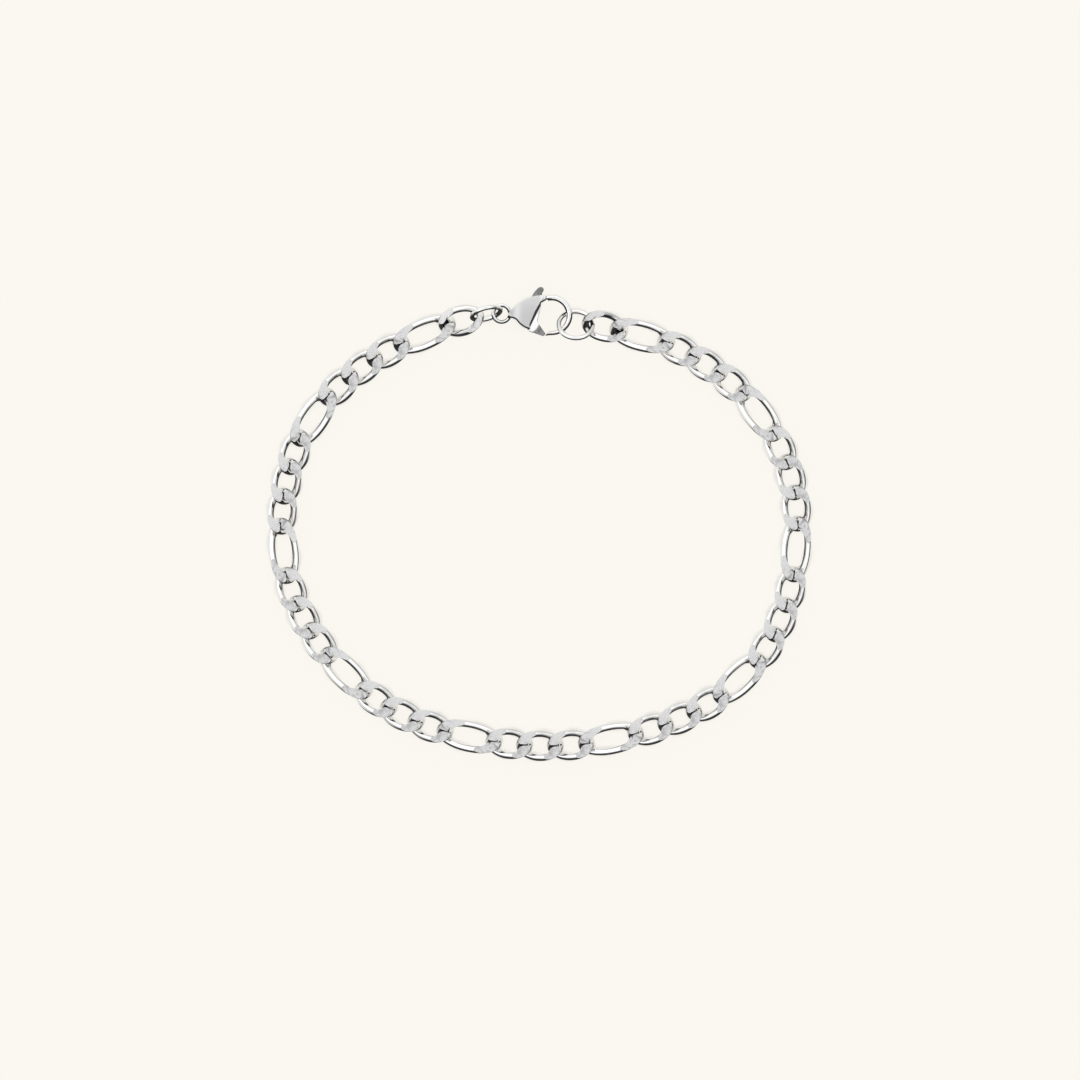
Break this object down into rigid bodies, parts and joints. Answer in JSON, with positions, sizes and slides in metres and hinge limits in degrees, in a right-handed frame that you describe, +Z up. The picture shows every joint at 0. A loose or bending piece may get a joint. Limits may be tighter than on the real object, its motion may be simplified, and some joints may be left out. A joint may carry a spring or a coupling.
{
  "type": "link bracelet",
  "caption": "Closed chain bracelet lying flat: short and long flat-cut curb links in a figaro pattern, held shut by a lobster clasp with a sprung lever.",
  "frame": {"origin": "under the middle of the bracelet's bounding box, on the surface that it lies on", "axes": "+X across the loop's longer width, +Y from the middle towards the clasp, +Z up from the surface"},
  "size_m": [0.0704, 0.061, 0.0042],
  "materials": {
    "chain": "satin flats filed on the faces, polished round sides",
    "rings": "polished",
    "clasp": "satin faces, polished edges",
    "lever": "polished",
    "pin": "satin"
  },
  "bodies": {
    "bracelet": {"link_01": "chain", "link_02": "chain", "link_03": "chain", "link_04": "chain", "link_05": "chain", "link_06": "chain", "link_07": "chain", "link_08": "chain", "link_09": "chain", "link_10": "chain", "link_11": "chain", "link_12": "chain", "link_13": "chain", "link_14": "chain", "link_15": "chain", "link_16": "chain", "link_17": "chain", "link_18": "chain", "link_19": "chain", "link_20": "chain", "link_21": "chain", "link_22": "chain", "link_23": "chain", "link_24": "chain", "link_25": "chain", "link_26": "chain", "link_27": "chain", "link_28": "chain", "link_29": "chain", "link_30": "chain", "link_31": "chain", "link_32": "chain", "link_33": "chain", "link_34": "chain", "link_35": "chain", "link_36": "chain", "link_37": "chain", "link_38": "chain", "link_39": "chain", "jump_ring_left": "rings", "jump_ring_right": "rings", "clasp_body": "clasp", "clasp_pin": "pin"},
    "lever": {"clasp_lever": "lever"}
  },
  "joints": [
    {"name": "lever_hinge", "type": "hinge", "parent": "bracelet", "child": "lever", "pos_m": [-0.00209, 0.02678, 0.0013], "axis": [0, 0, 1], "range_deg": [0, 22], "stiffness_Nm_per_rad": 0.002, "springref_deg": -20.05}
  ]
}
